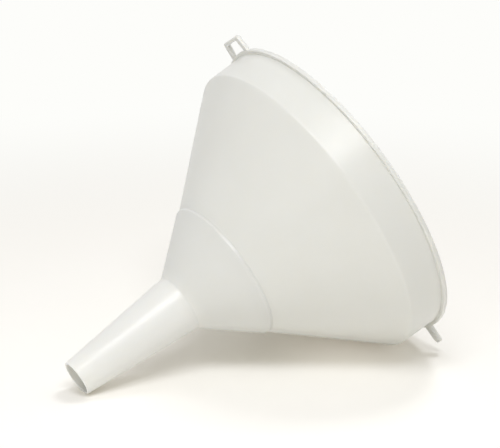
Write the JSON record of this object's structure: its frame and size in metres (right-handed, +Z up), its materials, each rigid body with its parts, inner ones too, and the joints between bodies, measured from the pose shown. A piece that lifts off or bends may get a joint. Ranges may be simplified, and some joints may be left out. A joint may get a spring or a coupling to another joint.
{
  "type": "kitchen funnel",
  "caption": "Wide white plastic funnel with a stepped cone, an upright collar and flange, a hanging loop, a thumb tab, a long tapered spout and a lift-out net strainer.",
  "frame": {"origin": "bottom centre of the box round the funnel as it lies on its side on a flat surface", "axes": "+X from the spout tip towards the mouth along the floor, +Z up; the funnel's own axis rises 26.6 degrees from +X, in the plane of X and Z"},
  "size_m": [0.2816, 0.25, 0.2379],
  "materials": {
    "white_polyethylene": "satin moulded, a little translucent",
    "white_polypropylene": "satin moulded",
    "nylon_net": "woven monofilament, slightly shiny"
  },
  "bodies": {
    "funnel": {"funnel_body": "white_polyethylene"},
    "strainer": {"strainer_frame": "white_polypropylene", "strainer_net": "nylon_net"}
  },
  "joints": [
    {"name": "strainer_lift", "type": "slide", "parent": "funnel", "child": "strainer", "axis": [0.8939, 0, 0.4482], "range_m": [0, 0.12]}
  ]
}
